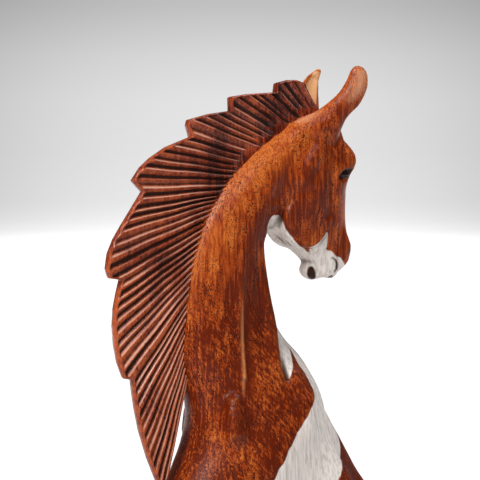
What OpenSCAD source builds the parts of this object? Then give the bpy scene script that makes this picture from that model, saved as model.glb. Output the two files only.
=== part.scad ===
// Rearing pinto horse, carved in wood and standing on a moulded plinth.
// The figure faces +X with its left side towards +Y, and the origin is the centre of the
// felt's underside. Every outline lies in the figure's upright middle plane and counts
// its height from the plinth's top face.

/* [Plinth] */
// Length of the plinth along the horse
plinth_length = 146; // [142:1:170]
// Width of the plinth across the horse
plinth_width = 82; // [74:1:96]
// Height of the wooden plinth
plinth_height = 12.5; // [12:0.5:16]
// Thickness of the felt under the plinth
felt_thickness = 1.5; // [1:0.5:3]
// How far the felt stays inside the plinth's edge
felt_inset = 3; // [2:1:6]

/* [Carving] */
// Thickness of the mane board
mane_thickness = 4.5; // [4:0.25:5]
// Diameter of each inlaid eye
eye_d = 5; // [4.6:0.2:5.4]
// How far the left hind hoof stands ahead of the right one
hind_stride = 9; // [0:1:12]
// Angle by which the left foreleg is raised above the right one
foreleg_raise = 10; // [8:1:12]

/* [Joinery] */
// Diameter of the two dowels between the forehand and the hindquarters
body_dowel_d = 8; // [6:0.5:9]
// Diameter of the dowels in the head, the legs and the tail
limb_dowel_d = 5; // [4:0.5:5.5]
// Diameter of the pegs in the ears and the mane
peg_d = 2; // [1.6:0.2:2.2]
// Shank diameter of the screws in the hooves and the tail
screw_d = 3; // [2.5:0.5:3]

/* [Quality] */
// Points round each rib of a carved form
sides = 24; // [20:2:28]
// Steps between one rib and the next
steps = 2; // [1:1:3]

/* [Hidden] */
$fn = 48;

top = felt_thickness + plinth_height;
chestnut = [0.52, 0.20, 0.07];
dark_chestnut = [0.36, 0.13, 0.06];
walnut = [0.22, 0.11, 0.06];
beech = [0.82, 0.66, 0.45];
steel = [0.70, 0.71, 0.72];

// A rib is [upper x, upper z, lower x, lower z, y of its middle, half width, egg].
// An egg above 0 makes the upper side wider than the lower one.
BODY_RIBS = [
    [-45, 93, -39, 88, 0, 4, 0],
    [-48, 101, -30, 86, 0, 12, 0],
    [-46, 112, -14, 91, 0, 17, 0],
    [-41, 124, -1, 103, 0, 19.5, 0],
    [-34, 137, 12, 117, 0, 20, 0],
    [-27, 150, 24, 133, 0, 21.5, 0],
    [-20, 164, 35.5, 150, 0, 23, 0],
    [-12.6, 178.4, 44, 167, 0, 23.5, 0],
    [-6.8, 190.6, 48.5, 184, 0, 22.8, 0],
    [-5, 201.4, 49.5, 198, 0, 20.3, -0.05],
    [-6.6, 212, 47, 210, 0, 17, -0.1],
    [-8.5, 222, 40.6, 221.6, 0, 13.2, 0.05],
    [-8.2, 232, 32.6, 230, 0, 10.8, 0.1],
    [-7.4, 242, 26.6, 240, 0, 9.6, -0.1],
    [-6, 252, 24.2, 249.5, 0, 9.2, -0.2],
    [-3.3, 262, 23.8, 257.6, 0, 8.9, -0.22],
    [0.3, 272, 24.6, 263.4, 0, 8.8, -0.2],
    [6.4, 282, 25.6, 266.4, 0, 8.8, -0.18],
    [14, 291, 26, 267.8, 0, 8.8, -0.15],
    [23.5, 299.3, 26.6, 268.4, 0, 8.8, -0.1],
    [33.5, 305.5, 27.6, 268.4, 0, 8.8, 0],
    [44.5, 309, 28.8, 268, 0, 9, 0.1]
];
BODY_JOINT = 6;

HEAD_RIBS = [
    [44.5, 309, 28.8, 268, 0, 9, 0.1],
    [50.5, 308.6, 29.8, 267.6, 0, 9.6, 0.15],
    [55.2, 303.6, 31, 267, 0, 10.2, 0.2],
    [58.2, 297, 32.4, 266.2, 0, 10.4, 0.22],
    [59, 290, 34.2, 265, 0, 9.8, 0.2],
    [59, 283, 36.4, 263.2, 0, 9, 0.12],
    [59.1, 276, 39, 261, 0, 8.2, 0.05],
    [59.6, 270.4, 41.4, 258.8, 0, 7.5, 0],
    [60.5, 265.8, 42.8, 256.8, 0, 7.2, 0],
    [60.8, 261.6, 43.6, 254.4, 0, 7.2, 0],
    [60.2, 257, 44.6, 252, 0, 6.6, 0],
    [56.8, 253.2, 45.4, 250.4, 0, 5, 0],
    [53.6, 251.4, 48.6, 250.4, 0, 2.2, 0]
];

FORELEG_RIBS = [
    [34, 200, 12, 182, -8, 5, 0],
    [44, 194, 18, 168, -11, 8.5, 0],
    [50, 184, 25, 158, -14, 9.5, 0],
    [55, 174, 35, 153.5, -16, 8.6, 0],
    [59, 165.5, 43.5, 151, -17, 7, 0],
    [63, 158.5, 51.5, 148.5, -17.5, 5.8, 0],
    [66.5, 153, 56.5, 146, -17.5, 5.2, 0],
    [69, 147, 58.6, 143.6, -17.5, 5, 0],
    [68.6, 141, 59.4, 140.8, -17.5, 4.6, 0],
    [66, 134.5, 58.6, 136.5, -17.5, 3.7, 0],
    [62, 127.5, 55.6, 131, -17.5, 3.2, 0],
    [58.6, 121.5, 52.2, 125.6, -17.5, 3.2, 0],
    [55.4, 115.6, 48.4, 121.8, -17.5, 4, 0],
    [50.6, 112.2, 45.2, 119.2, -17.5, 3.5, 0],
    [46.8, 110.6, 42.4, 118.4, -17.5, 3.7, 0],
    [43.6, 108.6, 39.4, 118.4, -17.5, 4.7, 0],
    [35, 105.6, 32.6, 118, -17.5, 5.7, 0]
];
FORELEG_JOINT = 4;

HINDLEG_RIBS = [
    [-14, 128, -36, 122, -8, 6, 0],
    [0, 117, -44, 107, -11, 9.5, 0],
    [8, 105, -45, 95, -14, 11, 0],
    [11.5, 94, -39, 84.5, -15.5, 11, 0],
    [8.5, 83, -31.5, 77, -16.5, 9.8, 0],
    [0, 74, -28.5, 72, -16.8, 8, 0],
    [-10, 66, -30, 68, -16.6, 6.2, 0],
    [-18, 60, -33, 64, -16.3, 5, 0],
    [-22, 53.6, -35.8, 58.8, -16, 4.7, 0],
    [-22.6, 47, -33.4, 50.4, -15.8, 4.3, 0],
    [-21.6, 41, -29.8, 42.6, -15.6, 3.5, 0],
    [-19.6, 32, -26.6, 33, -15.4, 3.1, 0],
    [-17.6, 25, -24.6, 25.6, -15.2, 3.2, 0],
    [-14.6, 20, -23.6, 18.6, -15, 4, 0],
    [-12, 15.6, -20.2, 13, -15, 3.6, 0],
    [-10, 12, -17.6, 9.8, -15, 3.7, 0],
    [-8, 9, -17, 7, -15, 4.7, 0],
    [-3.6, 0, -16.6, 0, -15, 5.8, 0]
];
HINDLEG_JOINT = 4;

TAIL_RIBS = [
    [-42.5, 109, -40.5, 99, 0, 4.4, 0],
    [-50, 111.5, -46, 99, 0, 5, 0],
    [-58, 109, -51, 96, 0, 5.5, 0],
    [-65, 101, -55, 90, 0, 6, 0],
    [-70, 89, -57, 82, 0, 6.3, 0],
    [-72.3, 74, -57, 70, 0, 6.5, 0],
    [-72, 58, -55.5, 56, 0, 6.5, 0],
    [-69, 42, -53, 41, 0, 6.2, 0],
    [-65.5, 27, -51, 26, 0, 5.8, 0],
    [-63.5, 13, -51, 13, 0, 5.2, 0],
    [-64, 0, -54, 0, 0, 4.6, 0]
];

// Outline of the mane board: its root inside the neck, then its stepped locks.
MANE_ROOT = [
    [-2, 209], [-1.2, 222], [-1, 234], [0.8, 250.5], [3.2, 260.5], [6.6, 269],
    [12, 278], [19, 286], [27.7, 293.7], [36.5, 299.2], [45, 303], [52.5, 304.4]
];
MANE_LOCKS = [
    [54, 309], [50.6, 313.2], [47, 319], [43.6, 321.4], [39, 323], [35.2, 322.8], [30.6, 321.6],
    [30, 318.2], [18.2, 317.2], [11.2, 316], [11.3, 311], [2.3, 309.6], [-5.8, 307.4],
    [-6.3, 305.4], [-5, 301.3], [-14.6, 297.6], [-21, 293.5], [-24.8, 290.2],
    [-28.2, 285.4], [-24.2, 281.5], [-28.4, 275.2], [-32.2, 269.6], [-35.4, 264.6],
    [-37.6, 259.6], [-38.4, 254.2], [-37.4, 251.2], [-32.8, 250.6], [-34, 246],
    [-35.2, 240.2], [-35.6, 234], [-35, 227.4], [-33.8, 221.4], [-31.6, 216],
    [-28.4, 215.4], [-27.8, 211], [-26.8, 205], [-25, 197], [-21.6, 187],
    [-17, 176.5], [-14.6, 181], [-12.6, 191], [-9.4, 204], [-7.2, 210]
];
MANE_PEGS_AT = [[-4.6, 232], [-2.6, 251.3], [3.5, 270.5], [16.5, 288.5], [35, 302.4]];
mane_peg_length = 8;

// An ear's ribs stand in a plane of its own: x along its width, z up from its foot.
RIGHT_EAR_RIBS = [
    [-2.2, -8.8, -7.8, -3.2, 0, 3.2, 0],
    [0.6, -6.2, -5.8, 0.2, 0, 3, 0],
    [3.2, -3.2, -3.2, 3.2, 0, 2.6, 0],
    [5.7, -0.5, -0.5, 5.7, 0, 2.2, 0],
    [7, 1, 1, 7, 0, 2, 0],
    [10.2, 4.4, 3.2, 9.4, 0, 1.7, 0],
    [12.6, 9.3, 5, 12.3, 0, 1.5, 0],
    [13.2, 13.1, 5.8, 14.1, 0, 1.3, 0],
    [12.6, 15.9, 6.4, 15.9, 0, 1.1, 0],
    [11.2, 17.6, 7.4, 17.6, 0, 0.7, 0],
    [9.9, 18.3, 8.5, 18.3, 0, 0.4, 0]
];
LEFT_EAR_RIBS = [
    [3.8, -6, -3.8, -6, 0, 3.2, 0],
    [4.1, -3, -4.5, -3, 0, 3, 0],
    [4.1, 0, -4.5, 0, 0, 2.6, 0],
    [3.9, 2.6, -4.5, 2.6, 0, 2.2, 0],
    [3.7, 4, -4.5, 4, 0, 2, 0],
    [3.5, 8, -4.5, 8, 0, 1.7, 0],
    [3.6, 11.4, -3, 11.4, 0, 1.4, 0],
    [3.8, 14, -1.2, 14, 0, 1.2, 0],
    [4.3, 16, 1.1, 16, 0, 0.9, 0],
    [4.7, 17.6, 2.9, 17.6, 0, 0.6, 0],
    [4.4, 18.2, 3.6, 18.2, 0, 0.3, 0]
];
// The ribs before this one belong to the head, the others to the ear.
EAR_JOINT = 3;
// An ear is [foot, turn about the upright, ribs, lean of its peg].
RIGHT_EAR = [[49.6, -8.2, 309.7], -30, RIGHT_EAR_RIBS, 45];
LEFT_EAR = [[49.6, 7.6, 309.7], -25, LEFT_EAR_RIBS, 0];
ear_peg_length = 9;
EYE_AT = [55.2, 6.6, 288.4];

foreleg_pivot = [47, 189];
foreleg_shift = [12.2, 11.2];
hip_height = 110;
LEFT_FORELEG_RIBS = [for (r = FORELEG_RIBS) raised(r)];
LEFT_HINDLEG_RIBS = [for (r = HINDLEG_RIBS) strode(r)];

body_dowel_length = 36;
body_dowel_spread = 0.25;
head_dowel_length = 18;
foreleg_dowel_length = 20;
hindleg_dowel_length = 24;
hindleg_dowel_angle = -105;
tail_dowel_length = 18;
TAIL_DOWEL_AT = [-45, 0, 105];
HOOF_SCREW_AT = [-11.6, 15];
TAIL_SCREW_AT = [-58.6, 0];
screw_bite = 9;
screw_head_d = 6.4;
screw_head_height = 2.4;
screw_counterbore = 4;
step_height = 5;
step_inset = 3;

// --- functions -------------------------------------------------------------------

function mid(r) = on_rib(r, 0.5);
function on_rib(r, f) = [r[2] + f * (r[0] - r[2]), r[4], r[3] + f * (r[1] - r[3])];
function across_rib(r) = atan2(r[1] - r[3], r[0] - r[2]) - 90;
function spin(p, a) = [p[0] * cos(a) - p[1] * sin(a), p[0] * sin(a) + p[1] * cos(a)];
function lifted(p) = foreleg_pivot + foreleg_shift + spin(p - foreleg_pivot, foreleg_raise);
function raised(r) =
    let (u = lifted([r[0], r[1]]), l = lifted([r[2], r[3]]))
    [u[0], u[1], l[0], l[1], -r[4], r[5], r[6]];
function lead(z) = hind_stride * max(0, 1 - z / hip_height);
function strode(r) = [r[0] + lead(r[1]), r[1], r[2] + lead(r[3]), r[3], -r[4], r[5], r[6]];
function between(list, i, j) = [for (k = [i : j]) list[k]];
function reversed(list) = [for (k = [len(list) - 1 : -1 : 0]) list[k]];

// Catmull-Rom curve through a list of equal rows.
function curve_at(a, b, c, d, t) =
    0.5 * (2 * b + (c - a) * t + (2 * a - 5 * b + 4 * c - d) * t * t
        + (3 * b - a - 3 * c + d) * t * t * t);
function smooth(rows) =
    let (n = len(rows))
    [for (i = [0 : n - 2], s = [0 : steps - 1])
        curve_at(rows[max(i - 1, 0)], rows[i], rows[i + 1], rows[min(i + 2, n - 1)], s / steps),
        rows[n - 1]];

function ring(r) =
    let (m = mid(r), half = [r[0] - r[2], r[1] - r[3]] / 2)
    [for (k = [0 : sides - 1])
        let (c = cos(360 * k / sides), s = sin(360 * k / sides))
        [m[0] + half[0] * c, m[1] + r[5] * s * (1 + r[6] * c), m[2] + half[1] * c]];

// --- building blocks -------------------------------------------------------------

module carved(colour) {
    color(colour) translate([0, 0, top]) children();
}

// Solid through a list of ribs, with flat ends.
module rib_loft(ribs) {
    rows = smooth(ribs);
    rings = len(rows);
    step = mid(rows[1]) - mid(rows[0]);
    facing = (rows[0][0] - rows[0][2]) * step[2] - (rows[0][1] - rows[0][3]) * step[0];
    faces = [
        [for (k = [0 : sides - 1]) k],
        for (i = [0 : rings - 2], k = [0 : sides - 1])
            let (a = i * sides + k, b = i * sides + (k + 1) % sides)
            each [[a, a + sides, b + sides], [a, b + sides, b]],
        [for (k = [sides - 1 : -1 : 0]) (rings - 1) * sides + k]
    ];
    polyhedron(
        points = [for (r = rows) each ring(r)],
        faces = facing > 0 ? faces : [for (f = faces) reversed(f)]
    );
}

// Round bar centred on a point, along a direction in the figure's middle plane.
module bar(at, angle, d, length) {
    translate(at) rotate([0, 90 - angle, 0]) cylinder(d = d, h = length, center = true);
}

module both_sides() {
    children();
    mirror([0, 1, 0]) children();
}

module at_ear(ear) {
    translate(ear[0]) rotate([0, 0, ear[1]]) children();
}

// Stadium outline, two half circles joined by a square.
module oval(length, width) {
    square([length - width, width], center = true);
    for (end = [-1, 1]) translate([end * (length - width) / 2, 0]) circle(d = width, $fn = 96);
}

// --- shapes shared by a piece and its socket --------------------------------------

module mane_form() {
    rotate([90, 0, 0]) linear_extrude(mane_thickness, center = true)
        polygon(concat(MANE_ROOT, MANE_LOCKS));
}

module ear_base(ear) {
    at_ear(ear) rib_loft(between(ear[2], 0, EAR_JOINT));
}

module ear_blade(ear) {
    at_ear(ear) rib_loft(between(ear[2], EAR_JOINT, len(ear[2]) - 1));
}

module left_eye_form() {
    translate(EYE_AT) sphere(d = eye_d);
}

module body_dowel_bars() {
    rib = BODY_RIBS[BODY_JOINT];
    for (f = [0.5 - body_dowel_spread, 0.5 + body_dowel_spread])
        bar(on_rib(rib, f), across_rib(rib), body_dowel_d, body_dowel_length);
}

module head_dowel_bar() {
    bar(on_rib(HEAD_RIBS[0], 0.4), across_rib(HEAD_RIBS[0]), limb_dowel_d, head_dowel_length);
}

module foreleg_dowel_bar(ribs) {
    rib = ribs[FORELEG_JOINT];
    bar(mid(rib), across_rib(rib), limb_dowel_d, foreleg_dowel_length);
}

module hindleg_dowel_bar(ribs) {
    rib = ribs[HINDLEG_JOINT];
    bar(on_rib(rib, 0.4), hindleg_dowel_angle, limb_dowel_d, hindleg_dowel_length);
}

module tail_dowel_bar() {
    bar(TAIL_DOWEL_AT, 0, limb_dowel_d, tail_dowel_length);
}

module mane_peg_bars() {
    for (p = MANE_PEGS_AT) translate([p[0], 0, p[1]]) rotate([90, 0, 0])
        cylinder(d = peg_d, h = mane_peg_length, center = true, $fn = 24);
}

module ear_peg_bar(ear) {
    at_ear(ear) translate(mid(ear[2][EAR_JOINT])) rotate([0, ear[3], 0])
        cylinder(d = peg_d, h = ear_peg_length, center = true, $fn = 24);
}

module ear_peg_bars() {
    ear_peg_bar(LEFT_EAR);
    ear_peg_bar(RIGHT_EAR);
}

module screw_bars() {
    for (p = [
        [HOOF_SCREW_AT[0], -HOOF_SCREW_AT[1]],
        [HOOF_SCREW_AT[0] + hind_stride, HOOF_SCREW_AT[1]],
        TAIL_SCREW_AT
    ]) translate([p[0], p[1], screw_counterbore - plinth_height]) {
        cylinder(d = screw_d, h = plinth_height - screw_counterbore + screw_bite);
        translate([0, 0, -screw_head_height]) cylinder(d = screw_head_d, h = screw_head_height);
    }
}

// --- carved pieces ---------------------------------------------------------------

module forehand() {
    carved(chestnut) difference() {
        union() {
            rib_loft(between(BODY_RIBS, BODY_JOINT, len(BODY_RIBS) - 1));
            rib_loft(between(FORELEG_RIBS, 0, FORELEG_JOINT));
            rib_loft(between(LEFT_FORELEG_RIBS, 0, FORELEG_JOINT));
        }
        mane_form();
        mane_peg_bars();
        body_dowel_bars();
        head_dowel_bar();
        foreleg_dowel_bar(FORELEG_RIBS);
        foreleg_dowel_bar(LEFT_FORELEG_RIBS);
    }
}

module hindquarters() {
    carved(chestnut) difference() {
        union() {
            rib_loft(between(BODY_RIBS, 0, BODY_JOINT));
            rib_loft(between(HINDLEG_RIBS, 0, HINDLEG_JOINT));
            rib_loft(between(LEFT_HINDLEG_RIBS, 0, HINDLEG_JOINT));
        }
        rib_loft(TAIL_RIBS);
        tail_dowel_bar();
        body_dowel_bars();
        hindleg_dowel_bar(HINDLEG_RIBS);
        hindleg_dowel_bar(LEFT_HINDLEG_RIBS);
    }
}

module head() {
    carved(chestnut) difference() {
        union() {
            rib_loft(HEAD_RIBS);
            ear_base(LEFT_EAR);
            ear_base(RIGHT_EAR);
        }
        both_sides() left_eye_form();
        ear_peg_bars();
        mane_form();
        head_dowel_bar();
    }
}

module mane() {
    carved(dark_chestnut) difference() {
        mane_form();
        mane_peg_bars();
    }
}

module tail() {
    carved(dark_chestnut) difference() {
        rib_loft(TAIL_RIBS);
        tail_dowel_bar();
        screw_bars();
    }
}

module foreleg(ribs) {
    carved(chestnut) difference() {
        rib_loft(between(ribs, FORELEG_JOINT, len(ribs) - 1));
        foreleg_dowel_bar(ribs);
    }
}

module hindleg(ribs) {
    carved(chestnut) difference() {
        rib_loft(between(ribs, HINDLEG_JOINT, len(ribs) - 1));
        hindleg_dowel_bar(ribs);
        screw_bars();
    }
}

module left_foreleg() {
    foreleg(LEFT_FORELEG_RIBS);
}

module right_foreleg() {
    foreleg(FORELEG_RIBS);
}

module left_hindleg() {
    hindleg(LEFT_HINDLEG_RIBS);
}

module right_hindleg() {
    hindleg(HINDLEG_RIBS);
}

module ear(which) {
    carved(chestnut) difference() {
        ear_blade(which);
        ear_peg_bar(which);
    }
}

module left_ear() {
    ear(LEFT_EAR);
}

module right_ear() {
    ear(RIGHT_EAR);
}

module left_eye() {
    carved("black") left_eye_form();
}

module right_eye() {
    mirror([0, 1, 0]) left_eye();
}

// --- plinth ----------------------------------------------------------------------

module plinth() {
    carved(walnut) difference() {
        translate([0, 0, -plinth_height]) union() {
            linear_extrude(step_height) oval(plinth_length, plinth_width);
            linear_extrude(plinth_height)
                oval(plinth_length - 2 * step_inset, plinth_width - 2 * step_inset);
        }
        screw_bars();
        for (p = [
            [HOOF_SCREW_AT[0], -HOOF_SCREW_AT[1]],
            [HOOF_SCREW_AT[0] + hind_stride, HOOF_SCREW_AT[1]],
            TAIL_SCREW_AT
        ]) translate([p[0], p[1], -plinth_height - 1])
            cylinder(d = screw_head_d, h = screw_counterbore + 1);
    }
}

module base_felt() {
    color("darkgreen") linear_extrude(felt_thickness)
        oval(plinth_length - 2 * felt_inset, plinth_width - 2 * felt_inset);
}

module plinth_screws() {
    carved(steel) screw_bars();
}

// --- dowels and pegs -------------------------------------------------------------

module body_dowels() {
    carved(beech) body_dowel_bars();
}

module head_dowel() {
    carved(beech) head_dowel_bar();
}

module foreleg_dowels() {
    carved(beech) {
        foreleg_dowel_bar(FORELEG_RIBS);
        foreleg_dowel_bar(LEFT_FORELEG_RIBS);
    }
}

module hindleg_dowels() {
    carved(beech) {
        hindleg_dowel_bar(HINDLEG_RIBS);
        hindleg_dowel_bar(LEFT_HINDLEG_RIBS);
    }
}

module tail_dowel() {
    carved(beech) tail_dowel_bar();
}

module mane_pegs() {
    carved(beech) mane_peg_bars();
}

module ear_pegs() {
    carved(beech) ear_peg_bars();
}

forehand();
hindquarters();
head();
mane();
tail();
left_foreleg();
right_foreleg();
left_hindleg();
right_hindleg();
left_ear();
right_ear();
left_eye();
right_eye();
plinth();
base_felt();
plinth_screws();
body_dowels();
head_dowel();
foreleg_dowels();
hindleg_dowels();
tail_dowel();
mane_pegs();
ear_pegs();
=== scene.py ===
"""Looks of a carved wooden horse that rears on an oval plinth.

Lengths in the carving code are millimetres, with heights above the plinth's top face and the
CAD frame's axes: +X the way the horse faces, +Y its left, +Z up. Objects are in metres.
"""

import math

import bmesh
import bpy
import numpy as np
import openvdb as vdb
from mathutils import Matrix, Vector


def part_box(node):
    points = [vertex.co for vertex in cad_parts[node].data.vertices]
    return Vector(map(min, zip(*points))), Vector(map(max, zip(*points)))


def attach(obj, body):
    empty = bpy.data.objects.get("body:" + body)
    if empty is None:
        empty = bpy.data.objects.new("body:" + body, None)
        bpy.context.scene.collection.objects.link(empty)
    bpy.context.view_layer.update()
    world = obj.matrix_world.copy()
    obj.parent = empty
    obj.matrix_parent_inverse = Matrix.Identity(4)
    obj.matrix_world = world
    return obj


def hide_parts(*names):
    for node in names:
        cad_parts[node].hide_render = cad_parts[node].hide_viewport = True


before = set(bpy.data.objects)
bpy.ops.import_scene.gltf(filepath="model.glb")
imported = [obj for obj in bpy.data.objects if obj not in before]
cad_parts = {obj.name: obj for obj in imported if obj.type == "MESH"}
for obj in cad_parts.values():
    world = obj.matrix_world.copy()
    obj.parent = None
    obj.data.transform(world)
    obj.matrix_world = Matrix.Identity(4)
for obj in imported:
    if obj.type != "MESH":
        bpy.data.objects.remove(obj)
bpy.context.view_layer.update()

MM = 0.001
PLINTH_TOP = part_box("plinth")[1].z / MM
rng = np.random.default_rng(7)

# corners of the two blocks of clay and the size of their cells
UPPER_BLOCK = ((-20, -29, 146), (92, 29, 330), 0.45)
LOWER_BLOCK = ((-50, -29, -1.2), (92, 29, 206), 0.6)
# how far from a surface its distance is kept
FAR = 9.0
# the span over which a hollow or an edge stands out from its surroundings
HOLLOW_SPAN = 4

# --- the carving's ribs ---
# A rib is (upper x, upper z, lower x, lower z, y of its middle, half width, egg, square).
# Egg above 0 makes the upper side wider; square flattens the lower side.

TRUNK_RIBS = [
    (-45, 93, -39, 88, 0, 4, 0, 0),
    (-48, 101, -30, 86, 0, 12, 0, 0),
    (-46, 112, -14, 91, 0, 17, 0, 0),
    (-41, 124, -1, 103, 0, 19.5, 0, 0),
    (-34, 137, 12, 117, 0, 20, 0, 0),
    (-27, 150, 24, 133, 0, 21.5, 0, 0),
    (-20, 164, 35.5, 150, 0, 23, 0, 0),
    (-12.6, 178.4, 44, 167, 0, 23.5, 0, 0),
    (-6.8, 190.6, 48.5, 184, 0, 22.8, 0, 0),
    (-5, 201.4, 49.5, 198, 0, 20.3, -0.05, 0),
    (-6.6, 212, 47, 210, 0, 17, -0.1, 0),
    (-8.5, 222, 40.6, 221.6, 0, 13.2, 0.05, 0),
    (-8.2, 232, 32.6, 230, 0, 10.8, 0.1, 0),
    (-7.4, 242, 26.6, 240, 0, 9.6, -0.1, 0),
    (-6, 252, 24.2, 249.5, 0, 9.2, -0.2, 0),
    (-3.3, 262, 23.8, 257.6, 0, 8.9, -0.22, 0),
    (0.3, 272, 24.6, 263.4, 0, 8.8, -0.2, 0),
    (6.4, 282, 25.6, 266.4, 0, 8.8, -0.18, 0),
    (14, 291, 26, 267.8, 0, 8.8, -0.15, 0),
    (23.5, 299.3, 26.6, 268.4, 0, 8.8, -0.1, 0),
    (33.5, 305.5, 27.6, 268.4, 0, 8.8, 0, 0),
]
HEAD_RIBS = [
    (44.5, 309, 28.8, 268, 0, 9, 0.1, 0.2),
    (50.5, 308.6, 29.8, 267.6, 0, 9.6, 0.15, 0.4),
    (55.2, 303.6, 31, 267, 0, 10.2, 0.2, 0.5),
    (58.2, 297, 32.4, 266.2, 0, 10.4, 0.22, 0.6),
    (59, 290, 34.2, 265, 0, 9.8, 0.2, 0.65),
    (59, 283, 36.4, 263.2, 0, 9, 0.12, 0.65),
    (59.1, 276, 39, 261, 0, 8.2, 0.05, 0.55),
    (59.6, 270.4, 41.4, 258.8, 0, 7.5, 0, 0.4),
    (60.5, 265.8, 42.8, 256.8, 0, 7.2, 0, 0.2),
    (60.8, 261.6, 43.6, 254.4, 0, 7.2, 0, 0),
    (60.2, 257, 44.6, 252, 0, 6.6, 0, 0),
    (56.8, 253.2, 45.4, 250.4, 0, 5, 0, 0),
    (53.6, 251.4, 48.6, 250.4, 0, 2.2, 0, 0),
]
FORELEG_RIBS = [
    (34, 200, 12, 182, 8, 5, 0, 0),
    (44, 194, 18, 168, 11, 8.5, 0, 0),
    (50, 184, 25, 158, 14, 9.5, 0, 0),
    (55, 174, 35, 153.5, 16, 8.6, 0, 0),
    (59, 165.5, 43.5, 151, 17, 7, 0, 0),
    (63, 158.5, 51.5, 148.5, 17.5, 5.8, 0, 0),
    (66.5, 153, 56.5, 146, 17.5, 5.2, 0, 0),
    (69, 147, 58.6, 143.6, 17.5, 5, 0, 0),
    (68.6, 141, 59.4, 140.8, 17.5, 4.6, 0, 0),
    (66, 134.5, 58.6, 136.5, 17.5, 3.7, 0, 0),
    (62, 127.5, 55.6, 131, 17.5, 3.2, 0, 0),
    (58.6, 121.5, 52.2, 125.6, 17.5, 3.2, 0, 0),
    (55.4, 115.6, 48.4, 121.8, 17.5, 4, 0, 0),
    (50.6, 112.2, 45.2, 119.2, 17.5, 3.5, 0, 0),
    (46.8, 110.6, 42.4, 118.4, 17.5, 3.7, 0, 0),
    (43.6, 108.6, 39.4, 118.4, 17.5, 4.7, 0, 0),
    (35, 105.6, 32.6, 118, 17.5, 5.7, 0, 0),
]
HINDLEG_RIBS = [
    (-14, 128, -36, 122, 8, 6, 0, 0),
    (0, 117, -44, 107, 11, 9.5, 0, 0),
    (8, 105, -45, 95, 14, 11, 0, 0),
    (11.5, 94, -39, 84.5, 15.5, 11, 0, 0),
    (8.5, 83, -31.5, 77, 16.5, 9.8, 0, 0),
    (0, 74, -28.5, 72, 16.8, 8, 0, 0),
    (-10, 66, -30, 68, 16.6, 6.2, 0, 0),
    (-18, 60, -33, 64, 16.3, 5, 0, 0),
    (-22, 53.6, -35.8, 58.8, 16, 4.7, 0, 0),
    (-22.6, 47, -33.4, 50.4, 15.8, 4.3, 0, 0),
    (-21.6, 41, -29.8, 42.6, 15.6, 3.5, 0, 0),
    (-19.6, 32, -26.6, 33, 15.4, 3.1, 0, 0),
    (-17.6, 25, -24.6, 25.6, 15.2, 3.2, 0, 0),
    (-14.6, 20, -23.6, 18.6, 15, 4, 0, 0),
    (-12, 15.6, -20.2, 13, 15, 3.6, 0, 0),
    (-10, 12, -17.6, 9.8, 15, 3.7, 0, 0),
    (-8, 9, -17, 7, 15, 4.7, 0, 0),
    (-3.6, 0, -16.6, 0, 15, 5.8, 0, 0),
]
TAIL_RIBS = [
    (-42.5, 109, -40.5, 99, 0, 4.4, 0, 0),
    (-50, 111.5, -46, 99, 0, 5, 0, 0),
    (-58, 109, -51, 96, 0, 5.5, 0, 0),
    (-65, 101, -55, 90, 0, 6, 0, 0),
    (-70, 89, -57, 82, 0, 6.3, 0, 0),
    (-72.3, 74, -57, 70, 0, 6.5, 0, 0),
    (-72, 58, -55.5, 56, 0, 6.5, 0, 0),
    (-69, 42, -53, 41, 0, 6.2, 0, 0),
    (-65.5, 27, -51, 26, 0, 5.8, 0, 0),
    (-63.5, 13, -51, 13, 0, 5.2, 0, 0),
    (-64, 0, -54, 0, 0, 4.6, 0, 0),
]
FORELEG_PIVOT = (47, 189)
FORELEG_SHIFT = (12.2, 11.2)
FORELEG_RAISE = math.radians(10)
HIND_STRIDE = 9
HIP_HEIGHT = 110

# the ribs the carving is sawn at
BODY_JOINT = TRUNK_RIBS[6]
HEAD_JOINT = HEAD_RIBS[0]
LEG_JOINT = 4

EYE_AT = (55.2, 6.6, 288.4)
EYE_R = 2.5


def both_sides(points):
    """Rows of (x, y, ...) and the same rows on the other side."""
    return points, [(x, -y, *rest) for x, y, *rest in points]


def raised(rib):
    """The left foreleg's rib: lifted, and turned up at the elbow."""
    corners = []
    for x, z in ((rib[0], rib[1]), (rib[2], rib[3])):
        dx, dz = x - FORELEG_PIVOT[0], z - FORELEG_PIVOT[1]
        c, s = math.cos(FORELEG_RAISE), math.sin(FORELEG_RAISE)
        corners.append(FORELEG_PIVOT[0] + FORELEG_SHIFT[0] + dx * c - dz * s)
        corners.append(FORELEG_PIVOT[1] + FORELEG_SHIFT[1] + dx * s + dz * c)
    return (*corners, *rib[4:])


def strode(rib):
    """The left hind leg's rib: its hoof stands ahead of the right one."""
    ahead = [HIND_STRIDE * max(0, 1 - z / HIP_HEIGHT) for z in (rib[1], rib[3])]
    return (rib[0] + ahead[0], rib[1], rib[2] + ahead[1], *rib[3:])


def on_right(rib):
    return (*rib[:4], -rib[4], *rib[5:])


FORELEGS = {
    "right_foreleg": [on_right(rib) for rib in FORELEG_RIBS],
    "left_foreleg": [raised(rib) for rib in FORELEG_RIBS],
}
HINDLEGS = {
    "right_hindleg": [on_right(rib) for rib in HINDLEG_RIBS],
    "left_hindleg": [strode(rib) for rib in HINDLEG_RIBS],
}

# --- strokes: rows of (x, y, z, radius), for the left side and mirrored ---

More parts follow.
